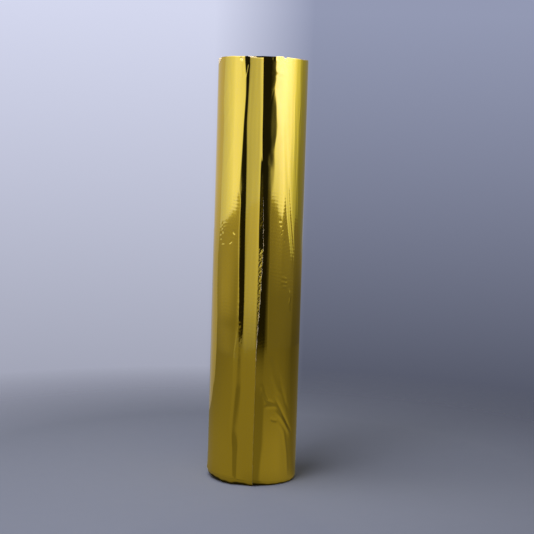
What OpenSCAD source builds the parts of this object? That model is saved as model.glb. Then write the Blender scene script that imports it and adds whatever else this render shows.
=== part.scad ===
// Roll of sign vinyl: a face film on its release liner, wound on a board core.
// Millimetres. The roll stands on one end: +Z runs up its axis, the origin is the
// centre of the lower end, and the cut edge of the web is at the front, on -Y.

/* [Web] */
// Width of the web, which is the height of the standing roll
web_w = 610; // [300:1:1524]
// Thickness of the face film with its adhesive
film_t = 0.10; // [0.06:0.01:0.25]
// Thickness of the release liner
liner_t = 0.15; // [0.06:0.01:0.25]
// Outside diameter of the roll, measured at the cut edge of the web
roll_d = 130; // [110:1:220]

/* [Core] */
// Bore of the core
bore_d = 76.2; // [50:0.1:80]
// Thickness of the smooth ply that lines the bore
inner_ply_t = 0.4; // [0.2:0.05:1]
// Thickness of one board ply
board_ply_t = 0.65; // [0.3:0.05:1]
// Number of board plies between the lining and the outside ply
board_plies = 5; // [1:1:6]
// Thickness of the smooth ply on the outside of the core
outer_ply_t = 0.5; // [0.2:0.05:1]
// Thickness of the glue line between two plies
glue_t = 0.05; // [0.02:0.01:0.1]

/* [Start tape] */
// Width of the tape that holds the start of the web to the core
tape_w = 19; // [6:1:40]
// Thickness of that tape
tape_t = 0.12; // [0.05:0.01:0.3]
// Play between the tape's long edges and the first turn
tape_play = 0.4; // [0.1:0.1:1]

/* [Loose end] */
// Length of web that has come loose from the last turn
tail_len = 85; // [40:1:120]
// Gap under the loose end where it leaves the roll
tail_gap = 0.45; // [0.45:0.05:1.5]
// How much the loose end has opened out: its radius less that of the last turn
tail_relax = 3; // [0:0.5:12]
// Angle by which the cut edge lies past the front of the roll
edge_past = 3.5; // [0:0.5:15]
// Strip of liner that shows beyond the film's cut edge
liner_show = 1.2; // [0.4:0.1:4]
// Gap along the web at the fold, between the last turn and the loose end
fold_gap = 0.4; // [0.3:0.1:1]

/* [Hidden] */
$fn = 180;
film_colour = [0.78, 0.62, 0.20];
liner_colour = [0.93, 0.91, 0.86];
edge_colour = [0.72, 0.66, 0.48];
board_colour = [0.62, 0.47, 0.32];
lining_colour = [0.74, 0.62, 0.46];
tape_colour = [0.88, 0.85, 0.72];

web_t = film_t + liner_t;
core_r = bore_d / 2 + inner_ply_t + board_plies * board_ply_t + outer_ply_t + (board_plies + 1) * glue_t;
wound_len = PI * (pow(roll_d / 2, 2) - pow(core_r, 2)) / web_t;

// The last turn is a spiral of two half circles, a quarter of the web's thickness either
// side of the axis, so that its surface climbs one thickness from its start to its end.
right_centre = [0, web_t / 4];
left_centre = [0, -web_t / 4];
right_r = roll_d / 2 - 3 * web_t / 4;
left_r = roll_d / 2 - web_t / 4;
front_a = 270;
back_a = 90;

// The loose end is an arc of larger radius that leaves the roll at the fold.
tail_r = left_r + tail_gap + tail_relax;
tail_a = arc_angle(tail_len, tail_r);
fold_a = front_a + edge_past - arc_angle(tail_len, left_r + tail_gap);
tail_centre = left_centre - tail_relax * toward(fold_a);
fold_line = left_centre + (left_r + tail_gap) * toward(fold_a);
root_a = fold_a + arc_angle(fold_gap, tail_r);

BOARD_PLY_NODES = [for (i = [1:board_plies]) str("core_board_ply_", i)];

// Unit vector in the plan at angle a
function toward(a) = [cos(a), sin(a)];

// Angle that an arc of the given length spans at radius r
function arc_angle(length, r) = length / r * 180 / PI;

// Inside radius of board ply i, counted outwards from the lining
function board_ply_r(i) = bore_d / 2 + inner_ply_t + i * glue_t + (i - 1) * board_ply_t;

// Radial clearance at angle a, on the loose end's own arc, down to the turn that it covers
function tail_clearance(a) =
    let (p = tail_centre + (tail_r - web_t) * toward(a))
    p.x > 0 ? norm(p - right_centre) - right_r : norm(p - left_centre) - left_r + web_t;

// Least clearance under the loose end, on points along its arc
clearance_steps = 60;
least_clearance = min([
    for (i = [0:clearance_steps]) tail_clearance(root_a + (fold_a + tail_a - root_a) * i / clearance_steps)
]);
echo(least_gap_under_loose_end = least_clearance);
echo(fold_line = fold_line, web_length_m = wound_len / 1000);

// Tube of the web's width from radius r, t thick
module tube(r, t) {
    rotate_extrude()
        translate([r, 0])
            square([t, web_w]);
}

// Upright wall on an arc about centre, with inside radius r and thickness t
module arc_wall(centre, r, t, from_a, to_a) {
    translate(centre)
        rotate(from_a)
            rotate_extrude(angle = to_a - from_a)
                translate([r, 0])
                    square([t, web_w]);
}

// One layer of the last turn, from the front round the right and the back to the fold:
// depth is from the roll's surface down to the layer's outside
module last_turn_layer(depth, t) {
    arc_wall(right_centre, right_r - depth - t, t, front_a - 360, back_a);
    arc_wall(left_centre, left_r - depth - t, t, back_a, fold_a);
}

// One layer of the loose end, stopping short of the web's end by back_off
module tail_layer(depth, t, back_off) {
    arc_wall(tail_centre, tail_r - depth - t, t, root_a, fold_a + tail_a - arc_angle(back_off, tail_r));
}

// Half of a disc about centre, to the right of the YZ plane or, with side -1, to its left
module half_disc(centre, r, side) {
    intersection() {
        translate(centre)
            circle(r = r);
        translate([side * r, 0])
            square([2 * r, 4 * r], center = true);
    }
}

// Slice of a disc at the back of the core, where the web starts, as wide as the given arc on the core
module start_slice(r, width) {
    half_a = arc_angle(width, core_r) / 2;
    reach = 2 * r;
    intersection() {
        circle(r = r);
        polygon([[0, 0], reach * toward(back_a - half_a), reach * toward(back_a + half_a)]);
    }
}

module core_inner_ply() {
    color(lining_colour)
        tube(bore_d / 2, inner_ply_t);
}

module core_board_ply(i) {
    color(board_colour)
        tube(board_ply_r(i), board_ply_t);
}

module core_outer_ply() {
    color(lining_colour)
        tube(core_r - outer_ply_t, outer_ply_t);
}

module start_tape() {
    half_a = arc_angle(tape_w, core_r) / 2;
    color(tape_colour)
        arc_wall([0, 0], core_r, tape_t, back_a - half_a, back_a + half_a);
}

// All turns below the last: the outline has the step, one web high, where the last turn starts
module wound_turns() {
    color(edge_colour)
        linear_extrude(web_w)
            difference() {
                union() {
                    half_disc(right_centre, right_r - web_t, 1);
                    half_disc(left_centre, left_r - web_t, -1);
                }
                circle(r = core_r);
                start_slice(core_r + tape_t, tape_w + 2 * tape_play);
            }
}

module outer_liner_turn() {
    color(liner_colour)
        last_turn_layer(film_t, liner_t);
}

module outer_film_turn() {
    color(film_colour)
        last_turn_layer(0, film_t);
}

module tail_liner() {
    color(liner_colour)
        tail_layer(film_t, liner_t, 0);
}

module tail_film() {
    color(film_colour)
        tail_layer(0, film_t, liner_show);
}

core_inner_ply();
for (i = [1:board_plies])
    core_board_ply(i);
core_outer_ply();
start_tape();
wound_turns();
outer_liner_turn();
outer_film_turn();
tail_liner();
tail_film();
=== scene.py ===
"""Roll of sign vinyl, standing on its end: the looks of the part, built around its frame.

Shapes are worked out in millimetres and degrees and put into meshes in metres. Angles
round the roll are called phi: 0 is the front, at -Y, and phi grows towards +X.
"""

import math
from types import SimpleNamespace

import bpy
import numpy as np
from bpy.props import FloatProperty, FloatVectorProperty, IntProperty, PointerProperty
from mathutils import Matrix, Vector


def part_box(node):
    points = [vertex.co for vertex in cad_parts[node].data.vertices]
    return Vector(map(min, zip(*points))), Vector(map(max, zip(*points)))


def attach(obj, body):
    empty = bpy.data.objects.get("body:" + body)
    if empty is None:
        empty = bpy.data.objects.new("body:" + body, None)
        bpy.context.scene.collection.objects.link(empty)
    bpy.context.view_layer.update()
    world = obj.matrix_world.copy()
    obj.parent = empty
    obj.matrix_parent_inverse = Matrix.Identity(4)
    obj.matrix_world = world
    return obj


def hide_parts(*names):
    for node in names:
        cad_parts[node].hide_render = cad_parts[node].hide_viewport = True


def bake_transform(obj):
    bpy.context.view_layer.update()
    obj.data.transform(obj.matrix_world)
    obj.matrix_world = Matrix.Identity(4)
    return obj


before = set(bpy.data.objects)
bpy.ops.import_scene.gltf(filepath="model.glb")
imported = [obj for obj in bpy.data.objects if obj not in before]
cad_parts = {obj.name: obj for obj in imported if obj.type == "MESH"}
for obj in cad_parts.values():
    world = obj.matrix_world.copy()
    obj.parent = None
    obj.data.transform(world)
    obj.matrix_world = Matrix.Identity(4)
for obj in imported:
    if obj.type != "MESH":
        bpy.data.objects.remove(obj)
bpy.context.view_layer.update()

bl_info = {
    "name": "Roll of sign vinyl",
    "version": (1, 0, 0),
    "blender": (4, 5, 0),
    "location": "3D View > Sidebar > Vinyl roll",
    "description": "Builds a roll of gold mirror sign vinyl with a loose end, on a board core",
    "category": "Add Mesh",
}

MM = 0.001
WEB_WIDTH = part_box("wound_turns")[1].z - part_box("wound_turns")[0].z

# Angles round the roll, in degrees
FILM_START = -78.0  # the turn's film starts here, under the loose end
SHOWN_FROM, SHOWN_TO = -9.0, -1.0  # between these it comes out from under the loose end
SIDE = 62.0  # past this the turn faces away from the front and needs fewer columns
JOIN = 240.0  # turn and loose end meet here, at the back
TAIL_START = JOIN - 360  # the same place, counted the way the loose end is
FOLD = -71.0  # the loose end leaves the roll here

# Columns of the films: angles between which they are spaced evenly, and the steps in each gap
TURN_MARKS, TURN_STEPS = (FILM_START, SHOWN_FROM, 0.0, SIDE, 100.0, JOIN), (6, 8, 100, 22, 44)
# join, fold, before the ridge, ridge, valley, before the curl, curl, cut edge
TAIL_STEPS = (36, 42, 12, 16, 36, 8, 16)
LINER_STEPS = (12, 24, 8, 14, 28, 6, 14)
# Rows of the films and of the loose end's liner: steps in the hem, up to the middle, up to the top
# edge and in it
FILM_ROWS = (36, 180, 196, 8)
LINER_ROWS = (24, 76, 76, 4)

# Gaps, in millimetres
FOOT_GAP = 0.4  # the last turn has crept up the roll, so its lower edge stands this far off the floor
COVERED_RISE = 9.0  # where the loose end covers the turn, its lower edge is this much higher
TOP_GAP = 0.3  # the upper edges lie this far below the web's full width, give or take their waves
LOOSE, LEAST_GAP = 0.25, 0.02  # how far the film lies off the layer below, on average and at least
LINER_ROOM = 0.012  # room above and below the liner of the last turn
TAIL_LINER_ROOM = 0.12  # room between film and liner on the loose end
CORE_ROOM, WOUND_ROOM = 0.16, 0.08  # room inside and outside the wound turns

SHARP_EDGE = math.radians(50)  # edges that turn by more than this stay sharp


class RollSizes(bpy.types.PropertyGroup):
    """Sizes of the web, the roll and the core"""

    web_width: FloatProperty(
        name="Web width", description="Height of the standing roll",
        default=WEB_WIDTH, min=0.3, max=1.6, unit="LENGTH")
    roll_diameter: FloatProperty(
        name="Roll diameter", description="Outside diameter at the cut edge",
        default=0.130, min=0.1, max=0.3, unit="LENGTH")
    film: FloatProperty(
        name="Film", description="Thickness of the face film with its adhesive",
        default=0.0001, min=0.00005, max=0.0004, precision=5, unit="LENGTH")
    liner: FloatProperty(
        name="Liner", description="Thickness of the release liner",
        default=0.00015, min=0.00005, max=0.0004, precision=5, unit="LENGTH")
    liner_strip: FloatProperty(
        name="Liner strip", description="Liner that shows beyond the film's cut edge",
        default=0.0005, min=0.0, max=0.005, precision=4, unit="LENGTH")
    bore: FloatProperty(
        name="Bore", description="Bore of the core",
        default=0.0762, min=0.04, max=0.1, unit="LENGTH")
    lining_ply: FloatProperty(
        name="Lining ply", description="Thickness of the ply that lines the bore",
        default=0.0004, min=0.0001, max=0.002, precision=5, unit="LENGTH")
    board_ply: FloatProperty(
        name="Board ply", description="Thickness of one board ply",
        default=0.00065, min=0.0002, max=0.002, precision=5, unit="LENGTH")
    board_plies: IntProperty(
        name="Board plies", description="Board plies between the lining and the skin",
        default=5, min=1, max=5)
    skin_ply: FloatProperty(
        name="Skin ply", description="Thickness of the ply on the outside of the core",
        default=0.0005, min=0.0001, max=0.002, precision=5, unit="LENGTH")
    glue: FloatProperty(
        name="Glue line", description="Glue between two plies",
        default=0.00005, min=0.0, max=0.0003, precision=5, unit="LENGTH")


class RollFinish(bpy.types.PropertyGroup):
    """Colours and finish of film, liner, board and tape"""

    gold: FloatVectorProperty(
        name="Gold", description="Colour of the mirror film",
        default=(0.80, 0.56, 0.03), min=0, max=1, subtype="COLOR")
    film_roughness: FloatProperty(
        name="Film roughness", description="Least roughness of the mirror film",
        default=0.05, min=0, max=1, subtype="FACTOR")
    crease_depth: FloatProperty(
        name="Crease depth", description="How strong the film's creases and dents are",
        default=1.0, min=0, max=2, subtype="FACTOR")
    paper: FloatVectorProperty(
        name="Liner paper", description="Colour of the release liner",
        default=(0.84, 0.67, 0.41), min=0, max=1, subtype="COLOR")
    web_edge: FloatVectorProperty(
        name="Web edge", description="Colour of the stacked edges at the roll's ends",
        default=(0.60, 0.50, 0.28), min=0, max=1, subtype="COLOR")
    board: FloatVectorProperty(
        name="Board", description="Colour of the core's board plies",
        default=(0.36, 0.235, 0.13), min=0, max=1, subtype="COLOR")
    lining: FloatVectorProperty(
        name="Lining", description="Colour of the core's smooth plies",
        default=(0.47, 0.335, 0.2), min=0, max=1, subtype="COLOR")
    tape: FloatVectorProperty(
        name="Tape", description="Colour of the tape at the web's start",
        default=(0.78, 0.72, 0.52), min=0, max=1, subtype="COLOR")


class StageLook(bpy.types.PropertyGroup):
    """Floor, backdrop and light"""

    floor: FloatVectorProperty(
        name="Floor", description="Colour of the floor",
        default=(0.205, 0.221, 0.295), min=0, max=1, subtype="COLOR")
    backdrop_light: FloatVectorProperty(
        name="Backdrop, light side", description="Colour of the backdrop towards -X",
        default=(0.60, 0.625, 0.78), min=0, max=1, subtype="COLOR")
    backdrop_dark: FloatVectorProperty(
        name="Backdrop, dark side", description="Colour of the backdrop towards +X",
        default=(0.265, 0.29, 0.41), min=0, max=1, subtype="COLOR")
    ambient: FloatProperty(
        name="Ambient", description="Strength of the light from all round",
        default=0.22, min=0, max=2)
    overhead: FloatProperty(
        name="Overhead", description="Power of the soft light above the roll",
        default=10.0, min=0, max=200, unit="POWER")
    front: FloatProperty(
        name="Front", description="Power of the soft light from the front",
        default=14.0, min=0, max=200, unit="POWER")


def sizes_of(context):
    """The sizes in millimetres, with the spiral of the last turn worked out from them.

    The last turn is two half circles, a quarter of the web's thickness either side of the
    axis, so its surface climbs one thickness from its start to its end.
    """
    given = context.scene.roll_sizes
    s = SimpleNamespace(
        height=given.web_width / MM, film=given.film / MM, liner=given.liner / MM,
        strip=given.liner_strip / MM)
    s.web = s.film + s.liner
    s.quarter = s.web / 4
    s.right_r = given.roll_diameter / MM / 2 - 3 * s.quarter
    s.left_r = given.roll_diameter / MM / 2 - s.quarter
    s.per_degree = math.radians(s.left_r)
    plies = [("core_inner_ply", given.lining_ply / MM)]
    plies += [(f"core_board_ply_{i + 1}", given.board_ply / MM) for i in range(given.board_plies)]
    plies += [("core_outer_ply", given.skin_ply / MM)]
    s.plies = []
    r = given.bore / MM / 2
    for name, thick in plies:
        s.plies.append((name, r, thick))
        r += thick + given.glue / MM
    s.core_r = r - given.glue / MM
    return s


# Meshes


def grid_quads(first, columns, rows, flip=False):
    """Quads of a grid whose vertices run up each column in turn, starting at number first."""
    i, j = np.meshgrid(np.arange(columns - 1), np.arange(rows - 1), indexing="ij")
    corner = first + i * rows + j
    quads = np.stack([corner, corner + rows, corner + rows + 1, corner + 1], -1).reshape(-1, 4)
    return quads[:, ::-1] if flip else quads


def ring_quads(first, columns, rows, flip=False):
    """As grid_quads, with the last column joined to the first."""
    i, j = np.meshgrid(np.arange(columns), np.arange(rows - 1), indexing="ij")
    here, there = first + i * rows + j, first + (i + 1) % columns * rows + j
    quads = np.stack([here, there, there + 1, here + 1], -1).reshape(-1, 4)
    return quads[:, ::-1] if flip else quads


def make_piece(name, points, faces, material):
    """A new smooth object at the origin from points in millimetres and lists of vertex numbers."""
    mesh = bpy.data.meshes.new(name)
    mesh.from_pydata((points.reshape(-1, 3) * MM).tolist(), [], faces)
    mesh.polygons.foreach_set("use_smooth", np.full(len(mesh.polygons), True))
    mesh.materials.append(material)
    mesh.update()
    piece = bpy.data.objects.new(name, mesh)
    bpy.context.scene.collection.objects.link(piece)
    return piece


def make_ring(name, facing, backing, material):
    """A closed ring from two grids of points that run round it, and the two rims between them.

    Both run anticlockwise, seen from above. The first one faces outwards where its rows run up, and
    down where they run outwards. The second one faces the other way.
    """
    columns, rows = facing.shape[:2]
    count = columns * rows
    here = np.arange(count).reshape(columns, rows)
    after = np.roll(here, -1, axis=0)
    rims = [
        np.stack([here[:, k] + first, after[:, k] + first, after[:, k] + second, here[:, k] + second], -1)
        for k, first, second in ((-1, 0, count), (0, count, 0))]
    quads = np.vstack([ring_quads(0, columns, rows), ring_quads(count, columns, rows, True), *rims])
    piece = make_piece(name, np.concatenate([facing, backing]), quads.tolist(), material)
    piece.data.set_sharp_from_angle(angle=SHARP_EDGE)
    return piece


def grid_normals(points):
    """Unit normals of a grid of points: the cross product of its two slopes."""
    normal = np.cross(np.gradient(points, axis=0), np.gradient(points, axis=1))
    return normal / np.linalg.norm(normal, axis=-1, keepdims=True)


def make_sheet(name, outer, inner, normals, arc, material):
    """A closed sheet: a fine outside grid, a coarser inside grid and the four rims.

    Each row step of the inside spans a whole number of row steps of the outside, so the
    rims close without a gap. The outside's normals are given, so that two sheets that meet
    shine as one. The map called sheet holds arc length and height in metres.
    """
    columns, rows = outer.shape[:2]
    in_rows = inner.shape[1]
    step = (rows - 1) // (in_rows - 1)
    o = np.arange(columns * rows).reshape(columns, rows)
    n = columns * rows + np.arange(columns * in_rows).reshape(columns, in_rows)
    bottom = np.stack([o[:-1, 0], n[:-1, 0], n[1:, 0], o[1:, 0]], -1)
    top = np.stack([o[:-1, -1], o[1:, -1], n[1:, -1], n[:-1, -1]], -1)
    k = np.arange(in_rows - 1)[:, None]
    span = k * step + np.arange(step + 1)[None, :]
    start = np.hstack([o[0][span], n[0][k + 1], n[0][k]])
    end = np.hstack([n[-1][k], n[-1][k + 1], o[-1][span[:, ::-1]]])
    quads = np.vstack([
        grid_quads(0, columns, rows), grid_quads(columns * rows, columns, in_rows, True),
        bottom, top])
    points = np.vstack([outer.reshape(-1, 3), inner.reshape(-1, 3)])
    piece = make_piece(name, points, quads.tolist() + start.tolist() + end.tolist(), material)
    mesh = piece.data
    in_normals = -normals[:, ::step]
    mesh.normals_split_custom_set_from_vertices(
        np.vstack([normals.reshape(-1, 3), in_normals.reshape(-1, 3)]).tolist())
    flat = np.vstack([
        np.stack([arc, outer[..., 2]], -1).reshape(-1, 2),
        np.stack([arc[:, ::step], inner[..., 2]], -1).reshape(-1, 2)]) * MM
    corner = np.empty(len(mesh.loops), np.int32)
    mesh.loops.foreach_get("vertex_index", corner)
    layer = mesh.uv_layers.new(name="sheet", do_init=False)
    layer.uv.foreach_set("vector", flat[corner].astype(np.float32).ravel())
    return piece


# The film's shape


def line_up(height_share, angles, share, soften=0.05):
    """A line that runs up the roll: straight between the given points, then averaged over a
    window that is soften of the roll's height, so that it has no corners."""
    samples = 1000  # to the roll's height; a fifth of it is added at both ends
    steps = np.linspace(-0.2, 1.2, samples * 7 // 5 + 1)
    plain = np.interp(steps, height_share, angles)
    window = np.hanning(int(soften * samples) | 1)
    half = len(window) // 2
    smooth = np.convolve(np.pad(plain, half, mode="edge"), window / window.sum(), "valid")
    return np.interp(share, steps, smooth)


def edge_line(share):
    """Angle of the film's cut edge up the roll; it bulges at mid height, where it curls."""
    return line_up(
        (0, .06, .14, .22, .32, .37, .44, .57, .68, .74, .78, .83, .88, 1),
        (1.6, 1.2, 1.2, 1.4, 1.3, 2.1, 4.0, 5.9, 4.4, 3.0, 1.7, 1.05, 0.85, -0.3), share)


def curl_line(share):
    """Angle where the flat strip next to the cut edge ends and the edge curls down."""
    return line_up(
        (0, .06, .2, .3, .36, .44, .56, .65, .72, .79, .88, 1),
        (0.9, 0.5, 0.5, 0.4, -0.1, 0.4, 0.9, 0.7, 0.7, 0.4, 0.2, -1.0), share)


def valley_line(share):
    """Angle where the film touches the turn below, at the left side of the strip."""
    return line_up(
        (0, .04, .085, .13, .23, .31, .375, .44, .55, .64, .7, .78, .85, .91, 1),
        (-18.2, -19.4, -20, -21.6, -17.3, -17.6, -16, -15.9, -16.5, -17.1, -17.2, -17.8, -18.9, -18.3,
         -16.9), share, 0.04)


def ridge_line(share):
    """Angle of the ridge on the left of the valley."""
    return line_up(
        (0, .04, .085, .13, .23, .31, .375, .44, .55, .6, .67, .695, .73, .78, .85, .91, .95, 1),
        (-25, -24.2, -24.6, -29.2, -25.4, -26.8, -21.6, -21.6, -24.1, -24.3, -23.1, -25.4, -24.5, -23.3,
         -22.0, -20.3, -20.4, -23.5), share, 0.03)


def ramp(x, corner, radius):
    """0 before the corner and x - corner after it, with the corner rounded."""
    return radius * np.logaddexp(0, (x - corner) / radius)


def bump(x, middle, width):
    """A round hump of height 1: the bell curve."""
    return np.exp(-(((x - middle) / width) ** 2))


def rise(x, low, high):
    """0 below low and 1 above high, on a smooth step between them."""
    t = np.clip((x - low) / (high - low), 0, 1)
    return t * t * (3 - 2 * t)


def lift_off(s, phi, share):
    """How far the loose end stands off the roll, in millimetres.

    It climbs slowly from the fold to the ridge, drops to the valley, and from there goes
    straight on along a tangent, which leaves the round by the square of the distance over
    twice the radius. Past the curl line it turns down. Corners are rounded.
    """
    x = phi * s.per_degree
    ridge = ridge_line(share) * s.per_degree
    valley = valley_line(share) * s.per_degree
    curl = curl_line(share) * s.per_degree
    fold = FOLD * s.per_degree
    deep = line_up(
        (0, .03, .07, .15, .24, .29, .31, .335, .37, .395, .74, .86, .93, 1),
        (2.2, 1.85, 1.5, 1.45, 1.15, 1.12, 1.05, .8, .7, 1, 1, .75, .62, 1), share)
    drop = 1.75 * deep
    valley_height = 0.3
    climb = (valley_height + drop) / (ridge - fold)
    fall = -drop / (valley - ridge)
    faces = line_up((0, .03, .08, .45, 1), (-13, -16.5, -17.5, -17, -17), share)
    leave = np.radians(np.maximum(valley_line(share) - faces, 0))
    start = np.maximum(valley, faces * s.per_degree)
    curl_down = -line_up(
        (0, .2, .27, .33, .44, .555, .61, .735, .755, .775, 1),
        (.06, .07, .09, .16, .16, .17, .70, .69, .36, .0, -.02), share, 0.012)
    hollow = 0.0044  # the strip is a little hollow: its slope grows by this much a millimetre
    rim, rim_width = 0.055, 2.3  # and next to the curl, over this width, it turns up by this slope
    # how round each corner is
    ridge_round = line_up((0, .07, .12, .28, .36, 1), (.7, .7, 1.3, 1.1, .3, .3), share)
    valley_round = line_up(
        (0, .07, .12, .2, .26, .34, .37, 1), (1.05, 1.05, 1.95, 2.0, 3.0, 3.0, .45, .45), share)
    fold_round, start_round, rim_round, curl_round = 5.0, 0.45, 0.5, 0.22
    past = ramp(x, start, start_round)
    return (
        climb * ramp(x, fold, fold_round)
        + (fall - climb) * ramp(x, ridge, ridge_round)
        + (leave - fall) * ramp(x, valley, valley_round)
        + past**2 * (1 / s.left_r + hollow) / 2
        + rim * ramp(x, curl - rim_width, rim_round)
        + curl_down * ramp(x, curl, curl_round)
    )


def off_path(x, z, path):
    """Distance from a path of straight pieces, and the share of the path's length passed."""
    path = np.asarray(path, float)
    lengths = np.hypot(*np.diff(path, axis=0).T)
    passed = np.concatenate([[0], np.cumsum(lengths)])
    best, share = np.full(x.shape, np.inf), np.zeros(x.shape)
    for (x0, z0), (x1, z1), length, done in zip(path[:-1], path[1:], lengths, passed):
        ux, uz = (x1 - x0) / length, (z1 - z0) / length
        t = np.clip((x - x0) * ux + (z - z0) * uz, 0, length)
        far = np.hypot(x - x0 - t * ux, z - z0 - t * uz)
        share = np.where(far < best, (done + t) / passed[-1], share)
        best = np.minimum(far, best)
    return best, share


def crease(s, x, z, path, width, height):
    """A ridge along a path of (phi, z) points: a bell curve across it, fading out at both ends."""
    places = [(phi * s.per_degree, up) for phi, up in path]
    away, share = off_path(x, z, places)
    fade = rise(np.minimum(share, 1 - share), 0, 0.3)
    return height * fade * bump(away, 0, width)


def dent(s, x, z, phi, up, wide, tall, depth):
    """A small round dent at (phi, up): a bell curve both ways."""
    return -depth * bump(x, phi * s.per_degree, wide) * bump(z, up, tall)


def slack(x, z):
    """Soft waves all over the film, as a few crossed sine waves."""
    return (
        0.050 * np.sin(x / 5.3 + 0.6 * np.sin(z / 61)) * np.sin(z / 47 + 0.8)
        + 0.035 * np.sin(x / 9.1 - z / 83 + 2.1)
        + 0.030 * np.sin(x / 13.7 + z / 140 + 0.4) * np.sin(z / 29 + x / 40)
        + 0.010 * np.sin(x / 1.35 + 1.4 * np.sin(z / 45))
        + 0.008 * np.sin(x / 0.97 - z / 61 + 2 * np.sin(z / 37))
    )


def ripples(x, z, share):
    """Fine level ripples, strongest at mid height."""
    zone = (bump(share, 0.52, 0.14) + 0.2) * (1 + 0.8 * np.sin(z / 8.3 + x / 11))
    fine = np.sin(z * 2.17 + 1.1 * np.sin(x / 3.1) + 0.9 * np.sin(x / 7.7))
    coarse = np.sin(z * 1.23 + 1.7 * np.sin(x / 5.2 + 1))
    return zone * (0.005 * fine + 0.008 * coarse)


def hem_height(s, x):
    """Height of the hem's upper end: it drops from left to right in short waves."""
    straight = np.clip(7.6 - 0.075 * x / s.per_degree, 4.6, 11.0)
    return straight + 0.5 * np.sin(x / 6.0) + 0.3 * np.sin(x / 2.3)


def hem_step(s, x, z):
    """Above the hem the film stands further out, most at the left; the step dies away upwards."""
    up = z - hem_height(s, x)
    tall = 0.62 - 0.25 * np.tanh((x / s.per_degree + 5) / 12) + 0.12 * np.sin(x / 4.0)
    return tall * rise(up, -0.7, 0.7) * np.exp(-np.maximum(up, 0) / 12.0)


def hem_tuck(s, x, z):
    """How far the hem is tucked in below its step: the square of the depth over twice a radius."""
    radius = 7.0
    down = np.maximum(hem_height(s, x) - 0.6 - z, 0)
    return -(down**2) / (2 * radius)


def top_round(below):
    """How far the film leans in at its top edge, by the distance below that edge: a parabola."""
    lean, tall = 0.22, 1.1
    return -lean * np.clip(1 - below / tall, 0, 1)**2


def settle(out):
    """A soft floor under how far the film stands off, so that it never sinks into the layer below."""
    soft = 0.05
    return LEAST_GAP + soft * np.logaddexp(0, (out - LEAST_GAP) / soft)


LEFT_CREASES = (
    # path of (phi, height), width, height
    (((-12, 235), (-11, 150), (-10, 60), (-9, -10)), 4.0, 0.22),
    (((-5, 200), (-3, 120), (-1, 40)), 3.0, 0.12),
    (((-33, 150), (-36, 90), (-37, 20)), 4.5, -0.14),
    (((-45, 170), (-47, 90), (-44, 20)), 4.5, 0.16),
    (((-47, 612), (-43, 560), (-41, 500)), 2.6, -0.10),
    (((-55, 560), (-52, 480), (-54, 420)), 2.6, 0.10),
    (((-17.6, 602), (-18.6, 592), (-20.8, 577)), 0.9, 0.34),
    (((-34, 614), (-28, 602), (-25.5, 570)), 1.4, 0.16),
    (((-31, 605), (-28, 607), (-25, 603)), 1.3, -0.5),
    (((-44, 574), (-52, 560), (-60, 546)), 2.2, 0.07),
    (((-40, 545), (-47, 528), (-57, 510)), 2.6, 0.08),
    (((-36, 500), (-42, 470), (-52, 440)), 3.0, 0.07),
    (((-62, 590), (-58, 520), (-60, 440)), 2.2, -0.08),
)
# Short dents in a half ring at mid height: their width and depth, and their two ends as (phi, height)
FLECK_WIDTH, FLECK_DEPTH = 1.2, 0.18
LEFT_FLECKS = (
    ((-53.8, 373.2), (-50.6, 372.6)), ((-52.8, 369), (-49.8, 367)), ((-50.8, 365), (-49.2, 361)),
    ((-56.4, 360.5), (-53.2, 357.5)), ((-55.6, 354), (-52, 352)), ((-53.6, 345.8), (-45, 347)),
    ((-38.8, 346.4), (-32.4, 351.8)), ((-33.8, 366), (-28.8, 360)),
)


def mottle(x, z):
    """Orange-peel grain: the sum of a dozen sine waves, 3 to 6 mm long, that run in all directions."""
    draw = np.random.default_rng(5)
    waves = 12
    grain = np.zeros_like(x)
    for _ in range(waves):
        heading, length, phase = draw.uniform(0, np.pi), draw.uniform(3, 6), draw.uniform(0, 2 * np.pi)
        grain += np.sin((x * np.cos(heading) + z * np.sin(heading)) * 2 * np.pi / length + phase)
    return grain / np.sqrt(waves / 2)


def left_relief(s, x, z, share):
    """Creases and dents of the loose end: a soft stripe low down, a crumpled top corner and a
    half ring of short dents at mid height; the curled edge and the streak are mottled."""
    tight = 0.6 * rise(x, -17 * s.per_degree, -12 * s.per_degree)
    out = slack(x, z) * (1 - tight) + ripples(x, z, share)
    for path, width, height in LEFT_CREASES:
        out += crease(s, x, z, path, width, height)
    for (phi_0, up_0), (phi_1, up_1) in LEFT_FLECKS:
        middle = ((phi_0 + phi_1) / 2, (up_0 + up_1) / 2)
        out += crease(s, x, z, ((phi_0, up_0), middle, (phi_1, up_1)), FLECK_WIDTH, -FLECK_DEPTH)
    hem = rise(x, -48 * s.per_degree, -41 * s.per_degree) * rise(-x, 20 * s.per_degree, 26 * s.per_degree)
    out -= 0.22 * hem * bump(z - hem_height(s, x), 1.2, 0.9)
    curled = rise(x, 1.0 * s.per_degree, 2.0 * s.per_degree) * bump(share, 0.49, 0.13)
    streak = bump(x, -19.5 * s.per_degree, 3.5) * bump(share, 0.42, 0.08)
    return out + mottle(x, z) * (0.075 * curled + 0.04 * streak)


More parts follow.
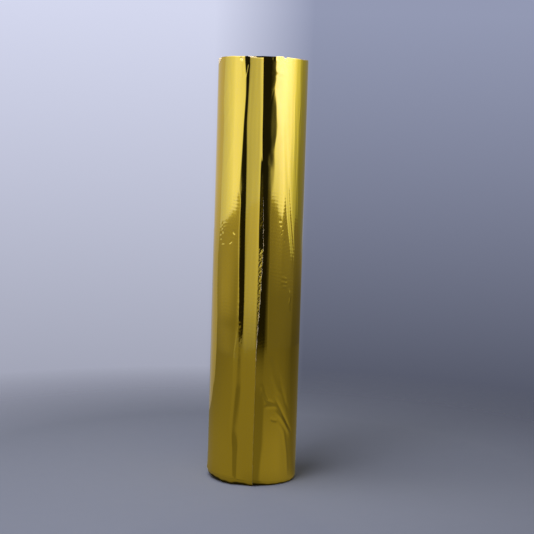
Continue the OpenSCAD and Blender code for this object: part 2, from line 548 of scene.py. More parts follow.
# A long line that runs down to the right: a groove along the top of a low swelling
LONG_LINE = (
    (30.4, 537), (33.7, 485), (35.6, 452), (39.4, 411), (41.6, 389), (46.6, 354), (50.8, 328), (55.5, 295))
RIGHT_CREASES = (
    # path of (phi, height), width, height
    (LONG_LINE, 3.2, -0.53),
    (LONG_LINE, 10.0, 0.44),
    (((9.0, 480), (7.4, 467), (9.8, 456)), 1.0, 0.06),
    (((14.6, 568), (12.4, 556), (9.4, 540)), 1.0, -0.05),
    (((37, 560), (39, 500), (38, 452)), 1.5, -0.08),
    (((44, 570), (46.5, 500), (46, 440)), 1.5, 0.12),
    (((49, 540), (51, 480), (52, 420)), 1.5, -0.13),
    (((53.6, 604), (54.6, 575), (56.4, 545), (54, 505)), 1.3, 0.12),
    (((31, 300), (37, 299), (42, 297)), 1.1, 0.20),
    (((30, 294), (37, 293), (43, 291)), 1.1, 0.22),
    (((33, 288), (38, 287), (42, 286)), 1.1, 0.16),
    (((45, 285), (48, 272), (46, 262), (49, 250)), 1.4, 0.42),
    (((58, 600), (60, 540), (59, 470)), 1.8, 0.14),
    (((63, 590), (62, 520), (64, 450)), 1.8, -0.14),
    (((57, 450), (59, 380), (58, 320)), 1.8, 0.12),
    (((9, 150), (11.3, 136), (17.4, 124), (25.6, 120.5), (29, 120)), 1.7, -0.42),
    (((13, 117), (17.6, 115.5), (27.1, 115.5), (31, 111)), 2.0, 0.36),
    (((26, 112), (36.5, 99), (45, 86), (54.1, 73), (57, 62)), 3.0, 0.62),
    (((26, 134), (31.2, 121), (41.3, 101), (50, 86), (58.9, 73), (61, 60)), 2.3, -0.62),
    (((21, 99), (26.3, 95.5), (33, 94)), 1.7, -0.30),
    (((24, 91), (34.8, 90), (42.3, 77), (49.2, 44), (52.5, 12), (53, -10)), 3.0, 0.55),
    (((20, 190), (24, 160), (31, 138), (40, 128)), 3.4, 0.22),
    (((33, 170), (37, 142), (45, 118), (54, 100)), 3.0, -0.25),
    (((55, 330), (52, 230), (53, 140), (60, 90)), 4.0, 0.22),
)
# Dents: angle, height, half width, half height, depth. The first is a wide bulge, where the wrinkles are
RIGHT_DENTS = (
    (37.0, 90, 30.0, 55.0, -0.9),
    (27.8, 381, 1.8, 1.0, 0.08), (28.9, 374.5, 1.5, 0.9, 0.09), (31.7, 368, 1.0, 0.8, 0.13),
    (30.8, 363, 1.3, 0.8, 0.15), (34.6, 353, 1.4, 0.9, 0.18), (12.0, 468, 3.0, 9.0, 0.20),
    (12.5, 607, 1.6, 2.2, 0.16), (15.2, 606, 1.8, 2.0, -0.14), (18.0, 607.5, 1.8, 2.0, 0.12),
)
# Right border of the dark stretch that the film mirrors at the upper front: height shares and angles
BORDER = (
    (.6, .638, .684, .718, .752, .787, .82, .844, .885, .9025, .926, .9475, .956, .962, .968, .975, 1),
    (15.2, 14.0, 13.2, 12.4, 12.2, 14.9, 19.0, 19.7, 17.6, 15.9, 14.1, 16.6, 16.4, 18.6, 16.4, 16.0, 16.6),
)
PLAIN_BORDER = 16.2  # where that border lies on a plain roll
BORDER_FADE = 8.0  # millimetres over which the film's tilt at the border fades


def border_bulge(s, x, share):
    """Tilts the film at the border by the angle that this lies off the plain one: the tilt times the
    distance from the border, under a bell curve."""
    border = line_up(*BORDER, share, 0.006)
    past = x - border * s.per_degree
    return np.radians(border - PLAIN_BORDER) * past * bump(past, 0, BORDER_FADE)


def right_relief(s, x, z, share):
    """Creases and dents of the turn: drag wrinkles low on the right, thin diagonal lines
    above, and long soft buckles round the back."""
    out = slack(x, z) + ripples(x, z, share)
    for path, width, height in RIGHT_CREASES:
        out += crease(s, x, z, path, width, height)
    out += border_bulge(s, x, share)
    for phi, up, wide, tall, depth in RIGHT_DENTS:
        out += dent(s, x, z, phi, up, wide, tall, depth)
    draw = np.random.default_rng(7)
    for phi in np.arange(88, JOIN - 8, 13.0):
        low, high = draw.uniform(-60, 260), draw.uniform(320, 660)
        lean, tall = draw.uniform(-9, 9), draw.uniform(0.08, 0.24)
        path = ((phi, low), (phi + lean, (low + high) / 2), (phi + lean / 3, high))
        out += crease(s, x, z, path, draw.uniform(1.6, 4.0), tall * draw.choice([-1, 1]))
    for _ in range(14):
        phi, up = draw.uniform(85, JOIN - 8), draw.uniform(40, 570)
        out += dent(s, x, z, phi, up, draw.uniform(1, 3), draw.uniform(0.8, 1.6), draw.uniform(.04, .16))
    return out


def roll_points(s, phi, z, out, under):
    """Points at angle phi that stand out millimetres off the last turn's spiral.

    With under, angles below 0 lie one web further in: they are the turn below the last.
    """
    right = (phi >= 0) & (phi <= 180) if under else np.zeros(phi.shape, bool)
    left_r = np.where(phi < 0, s.left_r - s.web, s.left_r) if under else s.left_r
    r = np.where(right, s.right_r, left_r) + out
    centre = np.where(right, s.quarter, -s.quarter)
    a = np.radians(phi)
    return np.stack([r * np.sin(a), centre - r * np.cos(a), z + 0 * r], -1)


def spaced(lines, counts):
    """Columns between neighbouring lines, evenly spaced, counts[i] steps in the i-th gap."""
    parts = [
        a + (b - a) * np.linspace(0, 1, n, endpoint=False)[:, None]
        for a, b, n in zip(lines[:-1], lines[1:], counts)
    ]
    return np.vstack(parts + [np.asarray(lines[-1])[None, :]])


def tail_columns(share, past_edge, counts):
    """Angles of the loose end's columns at each height: they follow its ridge, valley, curl
    and cut edge, so each of these lines lies on mesh edges."""
    ones = np.ones_like(share)
    lines = [
        TAIL_START * ones, FOLD * ones, ridge_line(share) - 4, ridge_line(share),
        valley_line(share), curl_line(share) - 1.5, curl_line(share), edge_line(share) + past_edge]
    return spaced(lines, counts)


def tail_top(s, phi, of_liner):
    """Height of the loose end's upper edge: slightly wavy, and lower along the flat strip.

    The film is also torn away in a notch at the left; the liner there is whole, and on the
    strip it stands higher than the film.
    """
    wave = 0.35 * np.sin(phi / 9.0 + 1) + 0.2 * np.sin(phi / 3.7)
    on_strip = rise(phi, -20, -16.5)
    if of_liner:
        lower = on_strip * (0.2 + 2.6 * rise(phi, -16, -3))
    else:
        tear = np.interp(phi, (-106, -97, -91, -84, -72, -66.5), (0, 4, 9, 8.5, 4.5, 0))
        ragged = 1 + 0.10 * np.sin(phi * 1.3) + 0.07 * np.sin(phi * 3.1 + 1)
        lower = on_strip * (1.7 + 0.9 * rise(phi, -14, 0)) + tear * ragged
    return s.height - TOP_GAP + rise(phi, TAIL_START, TAIL_START + 15) * (wave - lower)


def turn_top(s, phi):
    """Height of the last turn's upper edge: slightly wavy, with a small bite at the right."""
    fade = 1 - rise(phi, JOIN - 20, JOIN)
    bite = 2.2 * rise(phi, 25.5, 26.5) * (1 - rise(phi, 29, 31))
    wave = 0.4 * np.sin(phi / 11.0) + 0.2 * np.sin(phi / 4.1 + 2)
    return s.height - TOP_GAP + fade * (wave - bite)


def rows_up(counts):
    """Shares of the height for a grid's rows: so many steps in the hem, up to the middle, up to the
    top edge and in it."""
    marks = (0, 0.025, 0.5, 0.996, 1)
    parts = [np.linspace(a, b, n, endpoint=False) for a, b, n in zip(marks[:-1], marks[1:], counts)]
    return np.concatenate(parts + [[1.0]])


def least_near(out, step):
    """At each point the least of out within step rows, so that a coarser grid stays below it."""
    rows = out.shape[1]
    reach = np.clip(np.arange(rows)[:, None] + np.arange(-step, step + 1)[None, :], 0, rows - 1)
    return out[:, reach].min(-1)


def turn_film_shape(s, phi, share, creases):
    """Height and stand-off of the last turn's film at the given angles; plain under the loose end."""
    shown = rise(phi, SHOWN_FROM, SHOWN_TO)
    low = FOOT_GAP + COVERED_RISE * (1 - shown)
    top = turn_top(s, phi)
    z = low + share * (top - low)
    x = phi * s.per_degree
    share = np.broadcast_to(share, phi.shape)
    relief = creases * right_relief(s, x, z, share) + hem_step(s, x, z) + top_round(top - z)
    out = settle(LOOSE + relief) + hem_tuck(s, x, z)
    return z, shown * out


def tail_film_shape(s, share, counts, past_edge=0.0, depth=0.0, of_liner=False, creases=1.0):
    """Angles of the loose end's columns, and its height and stand-off there.

    From the join to the fold the relief of the turn gives way to that of the loose end.
    """
    phi = tail_columns(share, past_edge, counts)
    share = np.broadcast_to(share, phi.shape)
    top = tail_top(s, phi, of_liner)
    z = FOOT_GAP + share * (top - FOOT_GAP)
    x = phi * s.per_degree
    behind = x + 360 * s.per_degree
    loose = rise(phi, TAIL_START, FOLD - 8)
    relief, tuck = (
        loose * here + (1 - loose) * there for here, there in (
            (creases * left_relief(s, x, z, share) + hem_step(s, x, z),
             creases * right_relief(s, behind, z, share) + hem_step(s, behind, z)),
            (hem_tuck(s, x, z), hem_tuck(s, behind, z))))
    off = LOOSE + lift_off(s, phi, share) + relief + top_round(top - z)
    return phi, z, settle(off) + tuck - depth


def bend_tail(piece):
    """Bakes the piece's place into its mesh, so that it stays where it was built."""
    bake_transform(piece)


# Finishes


def new_finish(name):
    """A new procedural material, with its node tree and its shader."""
    material = bpy.data.materials.new(name)
    material.use_nodes = True
    tree = material.node_tree
    shader = tree.nodes["Principled BSDF"]
    return material, tree, shader


def node(tree, kind, inputs=(), **settings):
    """A node with its settings and inputs given by name or number; a socket as an input is linked."""
    made = tree.nodes.new(kind)
    for key, value in settings.items():
        setattr(made, key, value)
    for key, value in dict(inputs).items():
        if isinstance(value, bpy.types.NodeSocket):
            tree.links.new(value, made.inputs[key])
        else:
            made.inputs[key].default_value = value
    return made


def place(tree, scale, uv_map=""):
    """Coordinates in metres times scale: of the object, or of the named map."""
    if uv_map:
        at = node(tree, "ShaderNodeUVMap", uv_map=uv_map).outputs["UV"]
    else:
        at = node(tree, "ShaderNodeTexCoord").outputs["Object"]
    return node(tree, "ShaderNodeMapping", {"Vector": at, "Scale": scale}).outputs["Vector"]


def noise(tree, scale, detail, uv_map=""):
    """Noise with so many cells a metre each way."""
    at = place(tree, scale, uv_map)
    return node(tree, "ShaderNodeTexNoise", {
        "Vector": at, "Scale": 1.0, "Detail": detail, "Roughness": 0.55}).outputs["Fac"]


def between(tree, factor, low, high, from_low=0.3, from_high=0.7):
    """A number that goes from low to high as factor goes from from_low to from_high."""
    return node(tree, "ShaderNodeMapRange", {
        "Value": factor, "From Min": from_low, "From Max": from_high,
        "To Min": low, "To Max": high}).outputs["Result"]


def tints(tree, factor, *stops):
    """A colour from a ramp of (position, colour) stops."""
    made = node(tree, "ShaderNodeValToRGB", {"Fac": factor})
    ramp_stops = made.color_ramp.elements
    while len(ramp_stops) < len(stops):
        ramp_stops.new(0.5)
    for stop, (position, colour) in zip(ramp_stops, stops):
        stop.position = position
        stop.color = (*colour, 1)
    return made.outputs["Color"]


def shade(colour, share):
    """The colour made darker or lighter."""
    return tuple(min(1.0, c * share) for c in colour)


def raised(tree, shader, height, distance, strength):
    """Puts a bump of the given height in metres under the shader's gloss."""
    made = node(tree, "ShaderNodeBump", {"Height": height, "Distance": distance, "Strength": strength})
    tree.links.new(made.outputs["Normal"], shader.inputs["Normal"])


def set_shader(tree, shader, **values):
    """Sets the shader's sockets by name, with spaces for underscores; a socket is linked."""
    for key, value in values.items():
        socket = shader.inputs[key.replace("_", " ")]
        if isinstance(value, bpy.types.NodeSocket):
            tree.links.new(value, socket)
        else:
            socket.default_value = value


def gold_film(look):
    """Gold mirror film: metal under a clear face, with a faint haze and fine level lines."""
    material, tree, shader = new_finish("gold_mirror_film")
    haze = noise(tree, (14, 9, 1), 5, "sheet")
    gold = tuple(look.gold)
    set_shader(
        tree, shader, Metallic=1.0, Specular_Tint=(1.0, 0.84, 0.30, 1.0),
        Coat_Weight=1.0, Coat_Roughness=0.03, Coat_IOR=1.5,
        Base_Color=tints(tree, haze, (0.3, shade(gold, 0.96)), (0.7, gold)),
        Roughness=between(tree, haze, look.film_roughness, look.film_roughness + 0.05))
    lines = noise(tree, (55, 620, 1), 2, "sheet")
    raised(tree, shader, lines, 0.000012, 0.5)
    return material


def liner_paper(look):
    """Release liner: cream paper with a silicone face, a little cloudy, with short fibres."""
    material, tree, shader = new_finish("release_liner_paper")
    paper = tuple(look.paper)
    cloud = noise(tree, (60, 60, 1), 4, "sheet")
    fibre = noise(tree, (900, 2600, 1), 3, "sheet")
    set_shader(
        tree, shader, Base_Color=tints(tree, cloud, (0.3, shade(paper, 0.94)), (0.7, paper)),
        Roughness=between(tree, fibre, 0.34, 0.46), Specular_IOR_Level=0.45)
    raised(tree, shader, fibre, 0.00001, 0.4)
    return material


def web_edges(look):
    """Stacked edges of film and liner: gold and cream rings, grouped by how tight they lie."""
    material, tree, shader = new_finish("stacked_web_edges")
    edge = tuple(look.web_edge)
    rings, groups = (
        node(tree, "ShaderNodeTexWave", {
            "Vector": place(tree, (1, 1, 0)), "Scale": scale, "Distortion": distortion, "Detail": detail,
            "Detail Scale": detail_scale}, wave_type="RINGS", rings_direction="Z").outputs["Fac"]
        for scale, distortion, detail, detail_scale in ((637.0, 0.6, 1.0, 3.0), (70.0, 3.0, 3.0, 0.6)))
    mixed = node(tree, "ShaderNodeMath", {0: rings, 1: groups}, operation="MULTIPLY").outputs[0]
    set_shader(
        tree, shader, Metallic=0.25,
        Base_Color=tints(tree, mixed, (0.0, shade(edge, 0.55)), (0.4, edge), (1.0, (0.83, 0.79, 0.66))),
        Roughness=between(tree, groups, 0.38, 0.55))
    raised(tree, shader, rings, 0.00006, 0.6)
    return material


def core_board(look):
    """Grey-brown board with flecks and fibres that run round the core."""
    material, tree, shader = new_finish("core_board")
    board = tuple(look.board)
    fleck = noise(tree, (700, 700, 700), 4)
    fibre = noise(tree, (300, 300, 2400), 3)
    mixed = node(tree, "ShaderNodeMath", {0: fleck, 1: fibre}, operation="MULTIPLY").outputs[0]
    set_shader(
        tree, shader,
        Base_Color=tints(
            tree, mixed, (0.12, shade(board, 0.6)), (0.25, board), (0.42, shade(board, 1.35))),
        Roughness=between(tree, fibre, 0.82, 0.95))
    raised(tree, shader, fleck, 0.00008, 0.6)
    return material


def core_lining(look):
    """Smooth kraft paper, a little cloudy, with fine fibres that run up the core."""
    material, tree, shader = new_finish("core_lining_kraft")
    lining = tuple(look.lining)
    cloud = noise(tree, (90, 90, 60), 5)
    fibre = noise(tree, (1500, 1500, 260), 3)
    set_shader(
        tree, shader,
        Base_Color=tints(tree, cloud, (0.3, shade(lining, 0.82)), (0.7, shade(lining, 1.08))),
        Roughness=between(tree, fibre, 0.62, 0.78))
    raised(tree, shader, fibre, 0.00003, 0.5)
    return material


def start_tape_film(look):
    """Cream paper tape with a fine crepe."""
    material, tree, shader = new_finish("start_tape_crepe")
    tape = tuple(look.tape)
    crepe = noise(tree, (260, 260, 1900), 3)
    set_shader(
        tree, shader, Base_Color=tints(tree, crepe, (0.3, shade(tape, 0.85)), (0.7, tape)),
        Roughness=between(tree, crepe, 0.55, 0.72))
    raised(tree, shader, crepe, 0.00003, 0.6)
    return material


# Operators


class ROLL_OT_film(bpy.types.Operator):
    """Builds the film of the last turn and of the loose end"""

    bl_idname = "roll.film"
    bl_label = "Film"

    def execute(self, context):
        s = sizes_of(context)
        look = context.scene.roll_finish
        finish = gold_film(look)
        depth = look.crease_depth

        share, step = rows_up(FILM_ROWS), 5
        phi = spaced([mark * np.ones(len(share)) for mark in TURN_MARKS], TURN_STEPS)
        # one more column at both ends, for the normals there
        around = np.vstack([phi[:1] - 2, phi, 2 * phi[-1:] - phi[-2:-1]])
        z, out = turn_film_shape(s, around, share, depth)
        points = roll_points(s, around, z, out, True)
        normals = grid_normals(points)[1:-1]
        under = least_near(out, step)[1:-1, ::step] - s.film
        inner = roll_points(s, phi[:, ::step], z[1:-1, ::step], under, True)
        turn = make_sheet("film_last_turn", points[1:-1], inner, normals, phi * s.per_degree, finish)
        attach(turn, "roll")
        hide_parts("outer_film_turn")

        share, step = rows_up(FILM_ROWS), 3
        phi, z, out = tail_film_shape(s, share, TAIL_STEPS, creases=depth)
        points = roll_points(s, phi, z, out, False)
        # a column of the turn before the join, so that both films shine as one there
        back = 2 * phi[:1] - phi[1:2]
        back_z, back_out = turn_film_shape(s, back + 360, share, depth)
        whole = np.concatenate([roll_points(s, back, back_z, back_out, False), points])
        normals = grid_normals(whole)[1:]
        under = least_near(out, step)[:, ::step] - s.film
        inner = roll_points(s, phi[:, ::step], z[:, ::step], under, False)
        tail = make_sheet("film_loose_end", points, inner, normals, phi * s.per_degree, finish)
        bend_tail(tail)
        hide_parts("tail_film")
        return {"FINISHED"}


class ROLL_OT_liner(bpy.types.Operator):
    """Builds the release liner of the last turn and of the loose end"""

    bl_idname = "roll.liner"
    bl_label = "Liner"

    def execute(self, context):
        s = sizes_of(context)
        look = context.scene.roll_finish
        finish = liner_paper(look)
        rows = 3
        share = np.linspace(0, 1, rows)
        phi = spaced([mark * np.ones(rows) for mark in (0.4, SIDE, JOIN)], (62, 90))
        low = FOOT_GAP + COVERED_RISE
        z = low + share * (turn_top(s, phi) - low)
        outer = roll_points(s, phi, z, -s.film - LINER_ROOM, True)
        inner = roll_points(s, phi, z, -s.web + LINER_ROOM, True)
        normals = grid_normals(outer)
        turn = make_sheet("liner_last_turn", outer, inner, normals, phi * s.per_degree, finish)
        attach(turn, "roll")
        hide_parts("outer_liner_turn")

        share = rows_up(LINER_ROWS)
        shows = line_up((0, .29, .33, .5, .66, .70, 1), (.2, .2, 1, .8, .6, -.3, -.3), share)
        ragged = 1 + 0.45 * np.sin(share * 190) + 0.35 * np.sin(share * 420)
        strip = s.strip / s.per_degree * shows * ragged
        phi, z, out = tail_film_shape(
            s, share, LINER_STEPS, strip, s.film + TAIL_LINER_ROOM, True, 0.6 * look.crease_depth)
        outer = roll_points(s, phi, z, out, False)
        normals = grid_normals(outer)
        inner = outer - normals * s.liner
        tail = make_sheet("liner_loose_end", outer, inner, normals, phi * s.per_degree, finish)
        bend_tail(tail)
        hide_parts("tail_liner")
        return {"FINISHED"}


class ROLL_OT_wound_turns(bpy.types.Operator):
    """Builds the wound turns below the last, with their stacked edges at both ends"""

    bl_idname = "roll.wound_turns"
    bl_label = "Wound turns"

    def execute(self, context):
        s = sizes_of(context)
        finish = web_edges(context.scene.roll_finish)
        columns, across = 240, 120
        a = np.linspace(0, 2 * np.pi, columns, endpoint=False)[:, None]
        inside, outside = s.core_r + CORE_ROOM, s.left_r - 2 * s.web - WOUND_ROOM
        t = np.linspace(0, 1, across)[None, :]
        r = inside + (outside - inside) * t
        step = 0.92  # from one raised turn to the next that shows
        turns = (r - inside) / step - a / (2 * np.pi)
        # how far the edges lie below the highest: small steps, a band of deeper ones and soft waves
        sink = (
            0.16 * np.abs(np.sin(np.pi * turns))
            + 0.45 * np.sin(r / 3.1 + 0.5) ** 2 * bump(r, 56, 7)
            + 0.22 * (1 + np.sin(r / 1.7 + 0.7 * np.sin(a)))
            + 0.12 * (1 + np.sin(3 * a + r / 2.3)))
        sink *= rise(t, 0, 0.02) * rise(-t, -1, -0.98)
        x, y = r * np.cos(a), r * np.sin(a)
        top = np.stack([x, y, s.height - 0.35 - sink], -1)
        # the outer turns have crept up, which leaves room for the films' hem
        crept = 7.0 * rise(r, outside - 6.5, outside - 0.5)
        low = np.stack([x, y, 0.15 + 0.6 * sink + crept], -1)
        piece = make_ring("wound_turns_edges", low, top, finish)
        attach(piece, "roll")
        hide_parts("wound_turns")
        return {"FINISHED"}


# The seam that winds up the bore: its pitch, and its groove's width and depth, in millimetres
SEAM_PITCH, SEAM_WIDTH, SEAM_DEPTH = 120.0, 1.6, 0.14


class ROLL_OT_core(bpy.types.Operator):
    """Builds the plies of the board core and dresses the tape at the web's start"""

    bl_idname = "roll.core"
    bl_label = "Core"

    def execute(self, context):
        s = sizes_of(context)
        look = context.scene.roll_finish
        board, lining = core_board(look), core_lining(look)
        columns = 192
        a = np.linspace(0, 2 * np.pi, columns, endpoint=False)[:, None]
        for number, (name, r, thick) in enumerate(s.plies):
            smooth_ply = number in (0, len(s.plies) - 1)
            rows = 123 if number == 0 else 2
            t = np.linspace(0, 1, rows)[None, :]
            # how far the cut ends are worn down
            wear = 0.12 * (1 + np.sin(5 * a + 1.7 * number)) + 0.1 * (1 + np.sin(11 * a + number))
            low, high = 0.02 + 0.3 * wear, s.height - 0.25 - wear
            z = low + (high - low) * t
            groove = 0.0
            if number == 0:
                turn = (z / SEAM_PITCH - a / (2 * np.pi)) % 1.0
                groove = SEAM_DEPTH * bump(np.minimum(turn, 1 - turn) * SEAM_PITCH, 0, SEAM_WIDTH)
            outer, inner = (
                np.stack([radius * np.cos(a), radius * np.sin(a), z], -1)
                for radius in (r + thick + 0 * z, r + groove + 0 * z))
            finish = lining if smooth_ply else board
            piece = make_ring(name.replace("core_", "paper_"), outer, inner, finish)
            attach(piece, "roll")
            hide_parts(name)
        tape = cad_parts["start_tape"]
        tape.data.materials.clear()
        tape.data.materials.append(start_tape_film(look))
        return {"FINISHED"}


# Stage

# Camera: place in metres, angles in degrees, lens and sensor in millimetres
CAMERA_AT = (0.0, -1.7773, 0.4648)
CAMERA_YAW, CAMERA_PITCH, CAMERA_ROLL = 0.451, 4.974, 1.784
CAMERA_LENS, CAMERA_SENSOR = 82.12, 36.0

# Lamps: place and size, in metres
OVERHEAD_AT, OVERHEAD_SIZE = (-0.3, -0.2, 1.3), 0.7
FRONT_AT, FRONT_SIZE = (-0.6, -1.0, 1.7), 0.9

# Backdrop, by the direction of view: sideways it turns from light to dark between the first two values,
# upwards its strength grows between the next two, from one for each side to the same at the top
BACKDROP_SIDES, BACKDROP_HEIGHTS = (-0.04, 0.04), (-0.2, 0.12)
BACKDROP_LOW, BACKDROP_TOP = (0.57, 0.29), 1.1
AMBIENT_TINT = (0.95, 0.98, 1.0, 1)  # colour of the even light

# Floor: radii of its rings of vertices, in metres, and how far it lies below the roll, in millimetres
FLOOR_RINGS = (0.0001, 0.2, 0.5, 1, 1.5, 2, 3, 4, 6)
FLOOR_DROP = 0.05
# The camera sees the whole floor up to the first distance and none of it past the second
FLOOR_SEEN = (0.45, 0.95)

# Light tent: its radius and heights on it, in metres, and the colours of its light
TENT_RADIUS = 1.35
TENT_TOP = 2.2
TENT_MIDDLE = 0.75
TENT_CROWN = 1.05
SKIRT_MIDDLE = 0.13
HALF_SEAM = 0.002  # half the height over which skirt and cloth meet
CLOTH_LIGHT = (1.0, 1.07, 1.36)
SKIRT_LIGHT = (1.0, 0.95, 0.68)
CROWN_LIGHT = (1.7, 1.85, 4.0)
# Where the skirt is tinted like the cloth: angle and share
SKIRT_TINT = ((-180, 0), (-50, 0), (-42, 0.5), (-28, 0.5), (-24, 0), (180, 0))
HIGHLIGHT_TINT = 1.3  # how fast the cloth turns blue where it glows by more than 1
# Share of the cloth's blue that is left: angle and share
CLOTH_BLUE = (
    (-180, 1), (47, 1), (67, 0.9), (80, 0.8), (90, 0.65), (112, 0.45), (130, 0.6), (160, 1), (180, 1))
# Angle round the roll; height of the bright cloth's lower edge; its glow there and at the
# tent's middle height; the glow of the skirt below it, at the floor, half way up and at its top
TENT = (
    (-180, 0.29, 0.40, 0.40, 0.12, 0.20, 0.28),
    (-150, 0.29, 0.56, 0.58, 0.14, 0.22, 0.30),
    (-118, 0.29, 0.60, 0.62, 0.18, 0.26, 0.31),
    (-99, 0.309, 0.74, 0.78, 0.20, 0.35, 0.33),
    (-80, 0.327, 0.98, 0.98, 0.20, 0.35, 0.36),
    (-72, 0.336, 1.12, 1.12, 0.20, 0.32, 0.37),
    (-61, 0.351, 1.10, 1.10, 0.20, 0.25, 0.38),
    (-54, 0.376, 1.06, 1.06, 0.20, 0.24, 0.40),
    (-46, 0.384, 1.00, 1.02, 0.27, 0.50, 0.75),
    (-41.5, 0.372, 0.84, 0.86, 0.28, 0.54, 0.74),
    (-37.5, 0.36, 0.64, 0.66, 0.28, 0.50, 0.58),
    (-34, 0.34, 0.52, 0.54, 0.27, 0.46, 0.50),
    (-31, 0.33, 0.44, 0.46, 0.23, 0.34, 0.40),
    (-28, 0.33, 0.36, 0.38, 0.22, 0.27, 0.34),
    (-25.5, 0.33, 0.20, 0.20, 0.15, 0.18, 0.20),
    (-24.5, 0.33, 0.03, 0.03, 0.02, 0.02, 0.02),
    (-20, 0.33, 0.012, 0.012, 0.012, 0.012, 0.012),
    (22, 0.33, 0.012, 0.012, 0.012, 0.012, 0.012),
    (25, 0.40, 0.025, 0.03, 0.025, 0.025, 0.025),
    (27.5, 0.40, 0.07, 0.08, 0.06, 0.07, 0.08),
    (30.5, 0.39, 0.11, 0.16, 0.10, 0.11, 0.13),
    (32, 0.38, 0.25, 0.40, 0.19, 0.20, 0.26),
    (34.5, 0.377, 0.88, 1.64, 0.155, 0.155, 0.24),
    (39.7, 0.361, 0.90, 1.76, 0.16, 0.16, 0.28),
    (47, 0.340, 0.96, 1.80, 0.16, 0.165, 0.30),
    (52.3, 0.327, 1.06, 1.80, 0.16, 0.165, 0.31),
    (57.7, 0.311, 1.16, 1.80, 0.16, 0.165, 0.31),
    (60.7, 0.329, 1.16, 1.80, 0.16, 0.165, 0.31),
    (62.5, 0.349, 1.16, 1.78, 0.16, 0.165, 0.31),
    (64.7, 0.371, 1.14, 1.75, 0.16, 0.165, 0.31),
    (67, 0.371, 1.10, 1.70, 0.16, 0.165, 0.31),
    (73.3, 0.329, 1.00, 1.64, 0.155, 0.165, 0.30),
    (86, 0.266, 0.74, 1.34, 0.14, 0.165, 0.27),
    (97, 0.222, 0.48, 0.90, 0.115, 0.15, 0.22),
    (102, 0.232, 0.42, 0.78, 0.10, 0.135, 0.195),
    (107, 0.33, 0.36, 0.66, 0.09, 0.12, 0.17),
    (112, 0.32, 0.20, 0.44, 0.085, 0.11, 0.19),
    (116, 0.32, 0.17, 0.33, 0.08, 0.10, 0.17),
    (150, 0.22, 0.16, 0.24, 0.08, 0.09, 0.16),
    (180, 0.29, 0.40, 0.40, 0.12, 0.20, 0.28),
)
# What mirrors see of the floor: a disc this far above it, in metres, with light of this colour
MIRROR_FLOOR_AT = 0.0003
FLOOR_LIGHT = (1.0, 0.935, 0.56)
# Angle, glow close to the roll and glow at the tent's foot; this glow is painted floor light
FLOOR_GLOW = (
    (-180, 0.15, 0.12),
    (-150, 0.19, 0.14),
    (-118, 0.23, 0.17),
    (-99, 0.24, 0.19),
    (-72, 0.25, 0.21),
    (-52, 0.25, 0.225),
    (-46, 0.25, 0.255),
    (-28, 0.25, 0.25),
    (-22, 0.165, 0.135),
    (21, 0.168, 0.135),
    (27, 0.28, 0.16),
    (60, 0.30, 0.16),
    (82, 0.26, 0.14),
    (97, 0.17, 0.10),
    (112, 0.13, 0.085),
    (180, 0.15, 0.12),
)
# Distance from the axis, in metres; share of the close glow that is left there; share of light there,
# which is low next to the roll as a painted contact shadow
FLOOR_FADE = (
    (0.0, 1.0, 0.0), (0.0655, 1.0, 0.05), (0.067, 1.0, 0.5), (0.069, 1.0, 0.7), (0.079, 1.0, 0.79),
    (0.10, 1.0, 0.88), (0.13, 1.0, 0.96), (0.16, 1.0, 1.0), (0.30, 0.95, 1.0), (0.60, 0.55, 1.0),
    (1.0, 0.15, 1.0), (1.35, 0.0, 1.0))
FLOOR_SOFT = 6.0  # degrees over which each end of the darker stretch in front is soft
# The darker stretch in front, painted shade: distance from the axis, angles of its ends there, strength of
# its glow
FLOOR_SHADE = (
    (0.0, 2.0, 11.0, 1.0), (0.075, 2.0, 11.0, 1.0), (0.30, -22.0, 21.0, 1.0), (0.80, -22.0, 21.0, 1.0),
    (0.91, -22.0, 21.0, 1.3), (1.06, -22.0, 21.0, 1.15), (1.175, -22.0, 21.0, 0.92),
    (1.26, -22.0, 21.0, 0.55), (1.35, -22.0, 21.0, 0.5))
# The glowing board behind on the left, painted light as of a lit white board: height and left end of its
# rows, in metres, and their glow
BOARD = (
    (0.02, -0.29, 0.30), (0.04, -0.588, 0.34), (0.083, -0.715, 0.37), (0.145, -0.70, 0.39),
    (0.217, -0.58, 0.41), (0.278, -0.545, 0.42), (0.308, -0.69, 0.44), (0.36, -0.80, 0.50),
    (0.43, -0.80, 0.56), (1.0, -0.80, 0.57),
)
BOARD_RIGHT, BOARD_DEPTH = -0.14, 0.35
BOARD_LIGHT = (1.0, 0.98, 1.02)


class ROLL_OT_stage(bpy.types.Operator):
    """Sets up the camera, the backdrop, the floor, what the mirror film shows, and the lamps"""

    bl_idname = "roll.stage"
    bl_label = "Stage"

    def execute(self, context):
        scene = context.scene
        look = scene.roll_stage
        scene.view_settings.view_transform = "Standard"
        place_camera(scene)
        backdrop(scene, look)
        lay_floor(look)
        hang_tent()
        stand_board()
        mirror_floor()
        hang_lamp(scene, "overhead_softbox", OVERHEAD_AT, OVERHEAD_SIZE, look.overhead)
        fill = hang_lamp(scene, "front_softbox", FRONT_AT, FRONT_SIZE, look.front)
        fill.visible_glossy = False
        return {"FINISHED"}


def hang_lamp(scene, name, at, size, power):
    """A round softbox that points at the middle of the roll."""
    lamp = bpy.data.lights.new(name, "AREA")
    lamp.shape = "DISK"
    lamp.size = size
    lamp.energy = power
    box = bpy.data.objects.new(name, lamp)
    aim = Vector((0, 0, WEB_WIDTH / 2)) - Vector(at)
    box.matrix_world = Matrix.Translation(at) @ aim.to_track_quat("-Z", "Y").to_matrix().to_4x4()
    box.visible_camera = False
    scene.collection.objects.link(box)
    return box


